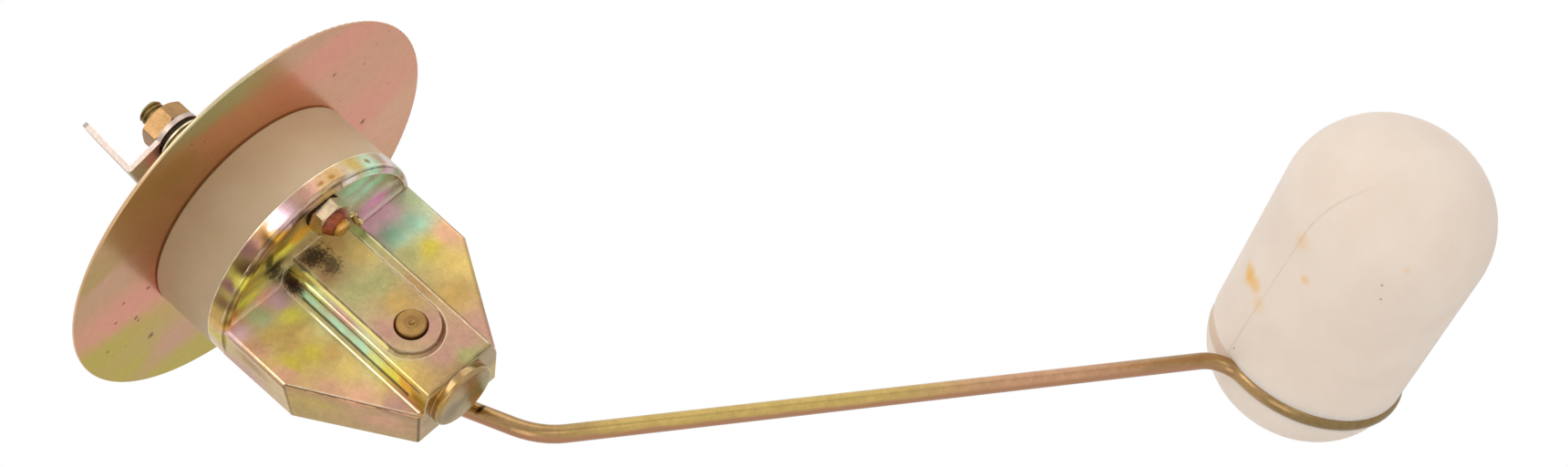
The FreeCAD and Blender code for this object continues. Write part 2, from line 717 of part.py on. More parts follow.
def float_arm():
    """The bent wire: through the hub, down, out to the float, and round it in a ring."""
    bend, along, axis, across = arm_frame()

    def in_ring(radius, angle):
        turn = math.radians(angle)
        return float_place + along * (radius * math.cos(turn)) + across * (radius * math.sin(turn))

    reach = math.sqrt((ring_radius + arm_neck_radius) ** 2 - arm_neck_radius ** 2)
    join = 180 + math.degrees(math.atan2(arm_neck_radius, reach))
    neck_start = float_place - along * reach
    neck_centre = neck_start - across * arm_neck_radius
    neck_turn = math.radians((270 - join) / 2)
    neck_outward = across * math.cos(neck_turn) + along * math.sin(neck_turn)
    neck_middle = neck_centre + neck_outward * arm_neck_radius
    hub = Vec(0, arm_y, pivot_z)
    start = hub - arm_direction() * (hub_radius + arm_stub)
    edges = rounded_path([start, bend, neck_start], [arm_bend_radius])
    edges.append(Part.Arc(neck_start, neck_middle, in_ring(ring_radius, join)).toShape())
    half = arm_ring_sweep / 2
    edges.append(Part.Arc(in_ring(ring_radius, join), in_ring(ring_radius, join + half / 2),
                          in_ring(ring_radius, join + half)).toShape())
    edges.append(Part.Arc(in_ring(ring_radius, join + half), in_ring(ring_radius, join + 1.5 * half),
                          in_ring(ring_radius, join + 2 * half)).toShape())
    wire = round_wire(edges, arm_radius)
    tips = [start, in_ring(ring_radius, join + arm_ring_sweep)]
    rims = [edge for edge in wire.Edges if min((edge.CenterOfMass - tip).Length for tip in tips) < 0.01]
    return wire.makeChamfer(arm_tip_chamfer, rims)


def domed_end(radius, knuckle, crown, tip, side):
    """Where an end's knuckle starts, and the points of its knuckle and crown arcs."""
    depth = crown - math.sqrt((crown - knuckle) ** 2 - (radius - knuckle) ** 2)
    start = tip - side * depth
    lean = math.asin((radius - knuckle) / (crown - knuckle))
    half = (math.pi / 2 - lean) / 2
    knuckle_middle = Vec(radius - knuckle * (1 - math.cos(half)), 0,
                         start + side * knuckle * math.sin(half))
    join = Vec(crown * math.sin(lean), 0, tip - side * crown * (1 - math.cos(lean)))
    crown_middle = Vec(crown * math.sin(lean / 2), 0, tip - side * crown * (1 - math.cos(lean / 2)))
    return start, knuckle_middle, join, crown_middle


def fuel_float():
    """The moulded float: slightly tapered, domed at both ends, with a groove for the ring."""
    axis = arm_frame()[2]
    upper_radius = float_radius + float_draft * (float_upper_length - float_upper_knuckle)
    top = domed_end(upper_radius, float_upper_knuckle, float_upper_crown, float_upper_length, 1)
    low = domed_end(float_radius, float_lower_knuckle, float_lower_crown, -float_lower_length, -1)
    top_tip, low_tip = Vec(0, 0, float_upper_length), Vec(0, 0, -float_lower_length)
    outline = Part.Wire([
        Part.makeLine(Vec(float_radius, 0, low[0]), Vec(upper_radius, 0, top[0])),
        Part.Arc(Vec(upper_radius, 0, top[0]), top[1], top[2]).toShape(),
        Part.Arc(top[2], top[3], top_tip).toShape(),
        Part.makeLine(top_tip, low_tip),
        Part.Arc(low_tip, low[3], low[2]).toShape(),
        Part.Arc(low[2], low[1], Vec(float_radius, 0, low[0])).toShape()])
    body = Part.Face(outline).revolve(Vec(0, 0, 0), Z, 360)
    groove = Part.makeTorus(ring_radius, arm_radius + groove_gap)
    body = body.cut(groove)
    body.Placement = FreeCAD.Placement(float_place, FreeCAD.Rotation(Z, axis))
    return body


def arm_hub():
    """The block on the spindle's rear end, cross-drilled for the wire."""
    body = cylinder(hub_radius, Vec(0, hub_front_y, pivot_z), Vec(0, hub_back_y, pivot_z))
    body = round_edges(body, hub_round, lambda c: True)
    socket = cylinder(spindle_radius, Vec(0, hub_front_y, pivot_z), Vec(0, spindle_back_y, pivot_z))
    centre = Vec(0, arm_y, pivot_z)
    cross = cylinder(arm_radius, centre - arm_direction() * 2 * hub_radius,
                     centre + arm_direction() * 2 * hub_radius)
    thread = cylinder(hub_screw_radius, Vec(0, arm_y, pivot_z), Vec(0, hub_back_y, pivot_z))
    return body.cut([socket, cross, thread])


def hub_screw():
    """The screw that clamps the wire in the hub."""
    seat = arm_y + arm_radius
    shank = cylinder(hub_screw_radius, Vec(0, seat, pivot_z), Vec(0, hub_back_y, pivot_z))
    head = cylinder(hub_screw_head_radius, Vec(0, hub_back_y, pivot_z),
                    Vec(0, hub_back_y + hub_screw_head_height, pivot_z))
    head = round_edges(head, hub_screw_head_height / 4,
                       lambda c: c.y > hub_back_y + hub_screw_head_height - 0.1)
    slot = Part.makeBox(hub_screw_slot, hub_screw_head_height, 3 * hub_screw_head_radius,
                        Vec(-hub_screw_slot / 2, hub_back_y + hub_screw_head_height / 2,
                            pivot_z - 1.5 * hub_screw_head_radius))
    slot.rotate(Vec(0, 0, pivot_z), Y, hub_screw_turn)
    return shank.fuse(head).cut(slot).removeSplitter()


pieces = {
    "flange_plate": flange_plate(),
    "collar": collar(),
    "housing_shell": housing_shell(),
    "back_cover": back_cover(),
    "terminal_bush": terminal_bush(),
    "terminal_screw": terminal_screw(),
    "terminal_washer": terminal_washer(),
    "spring_washer": spring_washer(),
    "spade_terminal": spade_terminal(),
    "terminal_nut": terminal_nut(),
    "lead_tag": lead_tag(),
    "lead_wire": lead_wire(),
    "resistance_card": resistance_card(),
    "resistance_winding": resistance_winding(),
    "card_spacers": card_spacers(),
    "card_rivets": card_rivets(),
    "rear_bush": rear_bush(),
    "pivot_spindle": pivot_spindle(),
    "wiper_hub": wiper_hub(),
    "wiper_blade": wiper_blade(),
    "wiper_contact": wiper_contact(),
    "arm_hub": arm_hub(),
    "hub_screw": hub_screw(),
    "float_arm": float_arm(),
    "float": fuel_float(),
}
for side, place in stud_places.items():
    pieces[side + "_fixing_stud"] = fixing_stud(place)
    pieces[side + "_fixing_washer"] = fixing_washer(place)
    pieces[side + "_fixing_nut"] = fixing_nut(place)
    pieces[side + "_nut_seal"] = lacquer_seal(place)

os.makedirs("parts", exist_ok=True)
for name, shape in pieces.items():
    shape.exportStep("parts/" + name + ".step")
    print(name, len(shape.Solids), shape.isValid(), round(shape.Volume, 2))
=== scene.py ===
import math

import bmesh
import bpy
from mathutils import Matrix, Vector, noise

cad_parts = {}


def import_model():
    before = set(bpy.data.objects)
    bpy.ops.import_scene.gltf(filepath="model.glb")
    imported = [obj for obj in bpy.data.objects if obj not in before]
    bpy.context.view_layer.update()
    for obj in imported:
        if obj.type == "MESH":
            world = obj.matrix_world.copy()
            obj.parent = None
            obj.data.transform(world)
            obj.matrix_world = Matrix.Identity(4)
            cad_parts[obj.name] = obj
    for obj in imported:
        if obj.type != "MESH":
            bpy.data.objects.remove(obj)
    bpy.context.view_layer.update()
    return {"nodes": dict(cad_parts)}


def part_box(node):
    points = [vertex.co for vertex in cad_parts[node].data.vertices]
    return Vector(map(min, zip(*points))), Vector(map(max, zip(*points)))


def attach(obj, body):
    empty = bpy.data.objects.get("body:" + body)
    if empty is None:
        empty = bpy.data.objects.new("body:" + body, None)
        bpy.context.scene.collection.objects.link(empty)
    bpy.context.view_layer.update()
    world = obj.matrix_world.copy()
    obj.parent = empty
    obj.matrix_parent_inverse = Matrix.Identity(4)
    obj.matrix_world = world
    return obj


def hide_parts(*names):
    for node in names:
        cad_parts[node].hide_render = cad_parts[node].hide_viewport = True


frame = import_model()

# Fuel level sender. Metres, in the part's own frame: +Z out of the tank, -Y the front of the can.
mm = 0.001

# Levels of the can in millimetres. The first three come from the frame.
shelf_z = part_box("front_fixing_washer")[1].z / mm
collar_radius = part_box("collar")[1].x / mm
pivot_z = (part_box("pivot_spindle")[0].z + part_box("pivot_spindle")[1].z) / 2 / mm
boss_y = -7.8
front_y = -2.6
rib_y = -6.6
slope_y = (front_y + rib_y) / 2
lip_radius, lip_z = 18.2, shelf_z - 0.6
sides = ("front", "rear")

# The camera's directions and place, from the photograph
right = Vector((0.67647501, -0.10922557, -0.7283209))
down = Vector((-0.59052585, 0.51048657, -0.62504614))
view = Vector((0.44006906, 0.85292042, 0.28083088))
camera_place = Vector((-0.169565, -0.436481, -0.203075))

# The plane of the float's parting line, and how far it lies from the origin
parting_normal = (-0.621, -0.188, -0.761)
parting_reach = 1.7

# Threads, M4 and M3. Depth is a share of the pitch, and slope and flat shape the crest.
screw_radius, screw_pitch = 2.0, 0.7
stud_radius, stud_pitch = 1.5, 0.5
thread_depth, crest_slope, crest_flat = 0.6, 1.5, 0.25
thread_sectors, thread_steps = 64, 14

# How the film's colours run into each other, and the nearest distance that counts, in millimetres
blend_power, blend_core = -3.0, 0.4


def rgb(red, green, blue):
    """A colour written as it looks on screen, 0 to 255, as the linear values that a shader takes."""
    linear = []
    for value in (red, green, blue):
        share = value / 255
        linear.append(share / 12.92 if share <= 0.04045 else ((share + 0.055) / 1.055) ** 2.4)
    return (*linear, 1.0)


class Shader:
    """One material and short calls that add its nodes. Coordinates are millimetres of the part."""

    def __init__(self, name):
        self.material = bpy.data.materials.new(name)
        self.material.use_nodes = True
        self.tree = self.material.node_tree
        self.surface = self.tree.nodes["Principled BSDF"]
        place = self.tree.nodes.new("ShaderNodeTexCoord").outputs["Object"]
        self.place = self.scaled(place, 1 / mm)

    def node(self, kind, inputs, **settings):
        node = self.tree.nodes.new(kind)
        for key, value in settings.items():
            setattr(node, key, value)
        for key, value in inputs.items():
            self.put(node.inputs[key], value)
        return node

    def put(self, socket, value):
        if isinstance(value, bpy.types.NodeSocket):
            self.tree.links.new(value, socket)
        else:
            socket.default_value = value

    def set(self, **values):
        for key, value in values.items():
            self.put(self.surface.inputs[key.replace("_", " ")], value)

    def math(self, operation, a, b=0.0):
        return self.node("ShaderNodeMath", {0: a, 1: b}, operation=operation).outputs[0]

    def vector(self, operation, a, b=(0, 0, 0)):
        return self.node("ShaderNodeVectorMath", {0: a, 1: b}, operation=operation)

    def scaled(self, vector, amount):
        node = self.vector("SCALE", vector)
        self.put(node.inputs["Scale"], amount)
        return node.outputs[0]

    def along(self, axis, vector=None):
        """One coordinate of a vector, or of the place in the part."""
        return self.node("ShaderNodeSeparateXYZ", {"Vector": vector or self.place}).outputs[axis]

    def fed(self, name):
        """What is linked to an input of the surface."""
        return self.surface.inputs[name].links[0].from_socket

    def noise(self, size, detail=3.0, roughness=0.5, where=None, colour=False):
        """Noise whose blotches are about size millimetres across."""
        node = self.node("ShaderNodeTexNoise", {"Vector": where or self.place, "Scale": 1 / size,
                                                "Detail": detail, "Roughness": roughness})
        return node.outputs["Color" if colour else "Fac"]

    def smooth(self, value, low, high):
        return self.node("ShaderNodeMapRange", {"Value": value, "From Min": low, "From Max": high},
                         interpolation_type="SMOOTHSTEP").outputs[0]

    def mix(self, share, a, b, blend="MIX"):
        node = self.node("ShaderNodeMix", {}, data_type="RGBA", blend_type=blend)
        for index, value in ((0, share), (6, a), (7, b)):
            self.put(node.inputs[index], value)
        return node.outputs[2]

    def warped(self, size, amount):
        """The coordinates pushed about by noise, so that a patch has an uneven edge."""
        push = self.vector("SUBTRACT", self.noise(size, colour=True), (0.5, 0.5, 0.5)).outputs[0]
        return self.vector("ADD", self.place, self.scaled(push, amount)).outputs[0]

    def blended(self, where, points):
        """A colour that runs smoothly from point to point, by the distance from each."""
        colour, weight = (0, 0, 0), 0.0
        for place, shade in points:
            away = self.vector("DISTANCE", where, place).outputs["Value"]
            pull = self.math("POWER", self.math("MAXIMUM", away, blend_core), blend_power)
            colour = self.vector("ADD", colour, self.scaled(rgb(*shade)[:3], pull)).outputs[0]
            weight = self.math("ADD", weight, pull)
        return self.scaled(colour, self.math("DIVIDE", 1.0, weight))

    def patch(self, where, centre, radii, core=0.2):
        """One inside a soft ellipsoid and nought outside it."""
        offset = self.vector("SUBTRACT", where, centre).outputs[0]
        stretched = self.vector("DIVIDE", offset, radii).outputs[0]
        length = self.vector("LENGTH", stretched).outputs["Value"]
        return self.smooth(length, 1.0, core)

    def specks(self, spacing, size, share):
        """Small round spots in a share of the cells of a scatter."""
        node = self.node("ShaderNodeTexVoronoi", {"Vector": self.place, "Scale": 1 / spacing,
                                                  "Randomness": 1.0})
        spot = self.smooth(node.outputs["Distance"], size / spacing, 0.4 * size / spacing)
        pick = self.node("ShaderNodeSeparateColor", {"Color": node.outputs["Color"]}).outputs[0]
        return self.math("MULTIPLY", spot, self.smooth(pick, 1 - share + 0.01, 1 - share + 0.02))

    def edge_lines(self, radius):
        """One on a sharp edge and nought on a flat face, with an uneven border."""
        bevel = self.node("ShaderNodeBevel", {"Radius": radius * mm}, samples=6).outputs[0]
        normal = self.node("ShaderNodeNewGeometry", {}).outputs["Normal"]
        turn = self.vector("DOT_PRODUCT", bevel, normal).outputs["Value"]
        uneven = self.math("MULTIPLY", self.noise(0.7, 3.0, 0.6), 0.08)
        return self.smooth(self.math("ADD", turn, uneven), 1.03, 0.90)

    def away(self, one, other, flat=False):
        """The distance in millimetres from a line between two points. Flat leaves out the depth along Y."""
        along = Vector(other) - Vector(one)
        offset = self.vector("SUBTRACT", self.place, one).outputs[0]
        if flat:
            offset = self.vector("MULTIPLY", offset, (1, 0, 1)).outputs[0]
        share = self.vector("DOT_PRODUCT", offset, tuple(along / along.length_squared)).outputs["Value"]
        share = self.node("ShaderNodeClamp", {"Value": share}).outputs[0]
        return self.vector("DISTANCE", offset, self.scaled(tuple(along), share)).outputs["Value"]

    def off_ring(self, radius, z):
        """The distance in millimetres from a ring round the part's axis."""
        flat = self.vector("LENGTH", self.vector("MULTIPLY", self.place, (1, 1, 0)).outputs[0])
        out = self.math("SUBTRACT", flat.outputs["Value"], radius)
        rise = self.math("SUBTRACT", self.along("Z"), z)
        return self.math("SQRT", self.math("ADD", self.math("MULTIPLY", out, out),
                                           self.math("MULTIPLY", rise, rise)))

    def band(self, value, low, high, soft):
        """One where a value lies between two others."""
        rise = self.smooth(value, low - soft, low + soft)
        return self.math("MULTIPLY", rise, self.smooth(value, high + soft, high - soft))

    def bump(self, height, depth, normal=None):
        """A bump whose full height is depth millimetres."""
        inputs = {"Height": height, "Distance": depth * mm, "Strength": 1.0}
        if normal:
            inputs["Normal"] = normal
        return self.node("ShaderNodeBump", inputs).outputs[0]


def paint(shader, *names):
    """Gives a material to CAD nodes."""
    for name in names:
        mesh = frame["nodes"][name].data
        mesh.materials.clear()
        mesh.materials.append(shader.material)


# Yellow passivated zinc: a thin clear film that shows gold, green and pink, patch by patch
# Dark brown for soot on the boss, and for painted shade on the shelf beside the rib, at the top of the rib's
# left side and at the arm's end by the can.
soot = rgb(50, 38, 22)
spread = (1.0, 2.2, 1.0)    # depth counts for more, so that one face's colours stay off the next
# Painted highlight (pale cream) and painted shade (dark brown) for lines along bends and edges.
highlight_cream, shade_line = rgb(250, 232, 200), rgb(92, 70, 48)

# The film's colours by name. Where each lies on a face is in the functions below.
# Some of these colours are also placed as painted shade, painted reflection and painted highlight, as marked
# where they are placed.
film = {
    "soot": (45, 35, 20), "umber": (90, 65, 40), "ochre": (160, 120, 30), "bronze": (130, 100, 60),
    "plum": (140, 100, 90), "olive": (150, 125, 85), "tan": (175, 140, 95), "sage": (170, 165, 110),
    "gold": (195, 160, 95), "lime": (200, 180, 75), "rose": (195, 150, 130), "amber": (245, 180, 60),
    "straw": (215, 185, 110), "mint": (190, 200, 155), "sea": (155, 190, 160), "peach": (230, 175, 140),
    "blush": (215, 165, 130), "coral": (235, 160, 135), "lemon": (240, 230, 90), "mauve": (230, 190, 200),
    "pale": (240, 250, 155), "teal": (200, 245, 210), "pink": (250, 170, 215), "pearl": (250, 240, 230),
}


def zinc(name, points, roughness=0.22, spots=(), pits=0.0, mottle=1.0, lines=(), dull=(), shade_and_soot_patches=(),
         edges=False):
    """The film's colour runs from point to point; the rest is painted over it in turn."""
    shader = Shader(name)
    where = shader.warped(4.5, 2.2)
    apart = shader.vector("MULTIPLY", where, spread).outputs[0]
    points = [([a * b for a, b in zip(place, spread)], shade) for place, shade in points]
    colour = shader.blended(apart, points)
    for centre, radii, shade, strength in spots:
        share = shader.math("MULTIPLY", shader.patch(where, centre, radii), strength)
        colour = shader.mix(share, colour, rgb(*shade))
    grain = shader.noise(0.45, 4.0, 0.6)
    # Dark grainy patches of soot and of painted shade.
    for centre, radii, strength in shade_and_soot_patches:
        share = shader.math("ADD", shader.patch(where, centre, radii, 0.1),
                            shader.math("MULTIPLY", shader.math("SUBTRACT", grain, 0.5), 1.8))
        share = shader.math("MULTIPLY", shader.smooth(share, 0.2, 1.0),
                            shader.patch(shader.place, centre, tuple(1.25 * r for r in radii), 0.7))
        colour = shader.mix(shader.math("MULTIPLY", share, strength), colour, soot)
    cloud = shader.noise(1.7, 8.0, 0.78)
    duller = shader.mix(mottle, colour, (0.84, 0.84, 0.82, 1), "MULTIPLY")
    brighter = shader.mix(mottle, colour, (1.1, 1.09, 1.08, 1), "MULTIPLY")
    colour = shader.mix(shader.smooth(cloud, 0.28, 0.72), duller, brighter)
    glint = shader.specks(0.8, 0.09, 0.3)
    colour = shader.mix(shader.math("MULTIPLY", glint, 0.6), colour, rgb(244, 228, 200))
    if pits:
        dirt = shader.math("MULTIPLY", shader.specks(2.6, 0.24, 0.16), pits)
        colour = shader.mix(dirt, colour, rgb(96, 62, 40))
    if edges:
        # Painted shade in a band beside each sharp edge, and a painted highlight on the edge itself.
        bend = shader.edge_lines(0.3)
        dark_band = shader.band(bend, 0.25, 0.6, 0.12)
        colour = shader.mix(shader.math("MULTIPLY", dark_band, 0.5), colour, shade_line)
        colour = shader.mix(shader.smooth(bend, 0.6, 0.95), colour, rgb(238, 220, 192))
    uneven = shader.math("MULTIPLY", shader.math("SUBTRACT", shader.noise(1.6, 3.0, 0.6), 0.5), 0.35)
    on_rib = shader.math("MULTIPLY", shader.smooth(shader.along("Y"), rib_y + 0.6, rib_y + 0.3),
                         shader.smooth(shader.along("Z"), shelf_z - 0.1, shelf_z - 0.5))
    for one, other, flat, low, high, shade, strength in lines:
        near = shader.away(one, other, flat) if other else shader.off_ring(*one)
        near = shader.math("ADD", near, uneven)
        share = shader.math("MULTIPLY", shader.band(near, low, high, 0.1), strength)
        if flat:
            share = shader.math("MULTIPLY", share, on_rib)
        colour = shader.mix(share, colour, shade)
    waves = shader.noise(8.0, 2.0, 0.5)
    normal = shader.bump(grain, 0.008, shader.bump(waves, 0.08))
    metallic = 1.0
    rough = shader.math("ADD", shader.math("MULTIPLY", grain, 0.14), roughness - 0.07)
    for centre, radii, amount in dull:
        mask = shader.patch(shader.place, centre, radii, 0.55)
        metallic = shader.math("SUBTRACT", metallic, shader.math("MULTIPLY", mask, amount))
        rough = shader.math("ADD", rough, shader.math("MULTIPLY", mask, 0.45 * amount))
    shader.set(Base_Color=colour, Metallic=metallic, Normal=normal, Roughness=rough,
               Specular_IOR_Level=0.2)
    return shader


def on_front(y, **patches):
    """Where each colour of the film lies on a front face: x and z."""
    return [((x, y, z), film[name]) for name, places in patches.items() for x, z in places]


def on_level(z, **patches):
    """Where each colour lies on a level face: x and y."""
    return [((x, y, z), film[name]) for name, places in patches.items() for x, y in places]


def on_slope(x, **patches):
    """Where each colour lies down a side of the rib: z."""
    return [((x, slope_y, z), film[name]) for name, places in patches.items() for z in places]


def rim_place(angle, z, radius=collar_radius):
    """A place round the part's axis: the angle in degrees from +X."""
    turn = math.radians(angle)
    return radius * math.cos(turn), radius * math.sin(turn), z


def on_rim(**patches):
    """Where each colour lies round the can's rim: the angle in degrees and z."""
    return [(rim_place(*place), film[name]) for name, places in patches.items() for place in places]


def on_lip(**patches):
    """Where each colour lies under the rim's lip: the angle in degrees."""
    return [(rim_place(angle, lip_z, lip_radius), film[name])
            for name, places in patches.items() for angle in places]


def flange_zinc():
    points = on_level(
        0,
        coral=[(-24, 2), (22, 0), (16, -25)],
        blush=[(-27, -10), (14, -32), (-17, 20)],
        peach=[(32, 4), (-5, -26)],
        lime=[(-26, 19), (-18, 29), (-32, 9)],
        gold=[(-31, -13), (-14, -25)],
        mint=[(-5, -33)])
    spots = []
    for x, y, size in ((-23.7, 6.1, 0.5), (-21.0, 14.5, 0.7), (-25.6, -0.8, 0.3), (-20.6, 0.6, 0.35),
                       (23.0, 0.9, 0.55), (17.3, -18.3, 0.35), (-23.0, 7.4, 0.3), (-27.0, 3.0, 0.3),
                       (-29.5, 9.0, 0.3)):
        spots.append(((x, y, 0), (1.4 * size, 1.4 * size, 4), (120, 80, 50), 0.9))
    # A painted highlight along the flange's outer edge.
    edge = [((35, 0.4), None, False, -0.3, 0.4, rgb(228, 188, 154), 0.6)]
    return zinc("zinc_flange", points, 0.25, spots, pits=0.7, mottle=0.4, lines=edge)


def upright(x, y, top, foot):
    """The two ends of a line down the can."""
    return (x, y, top), (x, y, foot)


def can_zinc():
    points = on_front(
        front_y,
        mauve=[(-9.5, -16), (-17, -16)],
        mint=[(-13, -16.5)],
        lemon=[(-10, -19)],
        straw=[(-14, -20), (-11, -22), (-10, -31)],
        gold=[(-13, -23), (-10, -28)],
        lime=[(-15, -25), (-12, -26)],
        blush=[(-17.5, -20), (-17, -26), (-14, -32)],
        peach=[(-12, -36)],
        rose=[(-9, -41)])
    points += on_front(
        front_y,
        mauve=[(10, -16), (13, -16)],
        sea=[(11, -20), (14.5, -20)],
        mint=[(17, -17)],
        sage=[(10, -23.5)],
        lime=[(13, -25)],
        blush=[(17, -25)],
        straw=[(14, -29)],
        gold=[(10, -33)],
        rose=[(9, -40)])
    points += on_front(
        boss_y,
        tan=[(-3, -17), (-3, -20)],
        gold=[(1, -17), (1, -31)],
        straw=[(3.5, -20)],
        sage=[(-2.5, -25), (1.5, -26)],
        rose=[(-3.5, -33), (2.5, -37)])
    points += on_front(
        rib_y,
        pale=[(-5.6, -19)],
        rose=[(-5.6, -26), (1, -41), (4.5, -41)],
        sage=[(6, -20), (3, -43.5)],
        tan=[(6, -30)])
    # The darkest point at the top of the rib's left side is painted shade in the corner under the shelf.
    points += on_slope(
        -6.7,
        soot=[-16.5],
        teal=[-20, -26, -31],
        pale=[-34],
        lemon=[-37.5],
        amber=[-40],
        ochre=[-43])
    points += on_slope(
        7.3,
        bronze=[-20, -30])
    # The darkest point on the shelf, beside the rib, is painted shade.
    points += on_level(
        shelf_z,
        amber=[(-17, -3.5), (-3.5, -12)],
        lemon=[(-14, -5.5), (-6, -11.5)],
        lime=[(-12.5, -8.5)],
        soot=[(-8.5, -9)],
        ochre=[(-7.5, -12.5), (17, -6.5)],
        peach=[(-10.5, -3)],
        teal=[(9, -13.5), (11.5, -10)],
        pink=[(12.5, -4.5)],
        pearl=[(15, -6)])
    # On the rim, plum and umber on the left and lower part are painted reflection of dark surroundings, and
    # mauve near -106 is part of the painted highlight.
    points += on_rim(
        lime=[(-178, -13)],
        gold=[(-165, -13)],
        bronze=[(-156, -13)],
        plum=[(-145, -12.8), (-125, -12.6)],
        umber=[(-135, -13.9), (-118, -13.9)],
        mauve=[(-106, -12.9)],
        rose=[(-90, -12.6)],
        straw=[(-62, -12.6)],
        tan=[(-75, -12.9), (-42, -12.9)],
        sage=[(-28, -12.9)])
    # Under the lip, umber at -100 is painted shade beside the nut.
    points += on_lip(
        ochre=[-165],
        lemon=[-140],
        amber=[-112],
        umber=[-100],
        gold=[-85],
        pearl=[-70],
        teal=[-55],
        mauve=[-40])
    points += [
        ((-18.6, 0, -20), film["ochre"]),
        ((-18.6, 4, -19), film["rose"]),
        ((-16, 0, -31), film["straw"]),
        ((-11, 1, -40), film["peach"]),
        ((6.5, 2, -44.7), film["straw"]),
        ((0, -6, -44.7), film["tan"]),
        ((-2, 0, -46.2), film["olive"]),
        ((2.5, 0, -46.2), film["sage"]),
    ]
    # The first spot is a painted highlight on the rim; the others are brown spots in the film.
    spots = [(rim_place(-111, -12.8), (1.5, 1.5, 0.7), (246, 232, 230), 0.7)]
    for angle, z in ((-83.0, -12.8), (-76.3, -12.7), (-52.7, -12.9)):
        spots.append((rim_place(angle, z), (0.9, 0.9, 0.6), (142, 102, 44), 0.85))
    # Soot on the boss, and painted shade at the top of the rib's left side and on the shelf beside the rib.
    shade_and_soot_patches = [
        ((-2.6, boss_y, -16.4), (4.6, 2.0, 3.6), 0.9),
        ((-1.6, boss_y, -19.2), (2.8, 2.0, 3.4), 0.75),
        ((-6.7, slope_y, -16.2), (1.8, 3.6, 4.4), 0.95),
        ((-8.2, -7.0, shelf_z), (2.6, 3.4, 1.6), 0.95),
        ((-9.0, -11.4, shelf_z), (1.5, 3.4, 1.6), 0.85),
    ]
    left_top, left_root, right_top, right_root = -6.1, -7.15, 6.8, 7.85
    top_edge = shelf_z - 0.3
    foot, shoulder = (-8.0, front_y, -44.5), (-18.3, front_y, -27.2)
    axis = (0, boss_y, pivot_z), (0, boss_y, 0)
    # Painted highlights and painted shade lines: round the lip, along the top edges, round and down the
    # boss, along the rib's edges and roots, and along the slanted and lower edges.
    lines = [
        ((19.1, shelf_z + 0.2), None, False, -0.3, 0.04, highlight_cream, 0.75),
        ((18.85, shelf_z - 0.2), None, False, -0.3, 0.1, shade_line, 0.7),
        ((19.2, -11.4), None, False, -0.3, 0.12, highlight_cream, 0.5),
        ((-18.2, front_y, top_edge), (-7.8, front_y, top_edge), False, -0.3, 0.06, highlight_cream, 0.8),
        ((8.6, front_y, top_edge), (18.2, front_y, top_edge), False, -0.3, 0.06, highlight_cream, 0.8),
        ((8.6, front_y, top_edge - 0.4), (18.2, front_y, top_edge - 0.4), False, -0.3, 0.06, shade_line, 0.6),
        ((-4.6, boss_y, top_edge), (4.4, boss_y, top_edge), False, -0.3, 0.06, highlight_cream, 0.8),
        (*axis, True, 4.62, 4.84, shade_line, 0.7),
        (*axis, True, 5.22, 5.34, highlight_cream, 0.5),
        # A painted highlight down the boss's left side.
        (*upright(-5.0, boss_y + 0.8, -17.5, pivot_z), False, -0.3, 0.36, rgb(255, 240, 150), 0.9),
        (*upright(5.05, boss_y + 0.9, -17.5, pivot_z), False, -0.3, 0.3, shade_line, 0.6),
        (*upright(left_top + 0.1, rib_y, -17, -44), False, -0.3, 0.08, highlight_cream, 0.6),
        (*upright(left_top - 0.2, rib_y + 0.7, -18, -43), False, -0.3, 0.16, shade_line, 0.7),
        (*upright(left_root + 0.25, front_y - 1.1, -19, -41), False, -0.3, 0.34, shade_line, 0.85),
        (*upright(left_root - 0.3, front_y, -16, -44), False, -0.3, 0.12, highlight_cream, 0.8),
        (*upright(right_top - 0.2, rib_y, -17, -44), False, -0.3, 0.1, highlight_cream, 0.6),
        (*upright(right_root + 0.5, front_y, -17, -42), False, -0.3, 0.14, shade_line, 0.6),
        (shoulder, foot, False, -0.3, 0.24, shade_line, 0.8),
        ((-17.9, front_y, -27.4), (-7.8, front_y, -44.0), False, -0.3, 0.1, highlight_cream, 0.6),
        ((-18.4, front_y, -15.4), shoulder, False, -0.3, 0.16, highlight_cream, 0.6),
        ((-18.6, front_y + 0.6, -15.4), (-18.6, front_y + 0.6, -27), False, -0.3, 0.2, shade_line, 0.6),
        ((left_top, rib_y, -44.6), (right_top, rib_y, -44.6), False, -0.3, 0.24, shade_line, 0.6),
        ((-8.0, front_y, -44.7), (-8.0, 5.0, -44.7), False, -0.3, 0.26, shade_line, 0.7),
        ((-18.5, front_y, -27.1), (-18.4, 5.0, -28.4), False, -0.3, 0.22, shade_line, 0.5),
    ]
    dull = [((-6.75, slope_y, -31.0), (1.2, 2.4, 17.0), 1.0), ((7.4, slope_y, -31.0), (1.2, 2.4, 17.0), 0.8),
            ((0, 0, shelf_z), (19.0, 19.0, 0.8), 1.0), ((0, front_y, -15.5), (26, 1.6, 8.0), 0.7),
            ((0, boss_y, -14.5), (9, 1.8, 11.0), 1.0)]
    return zinc("zinc_can", points, 0.2, spots, lines=lines, dull=dull, shade_and_soot_patches=shade_and_soot_patches, edges=True)


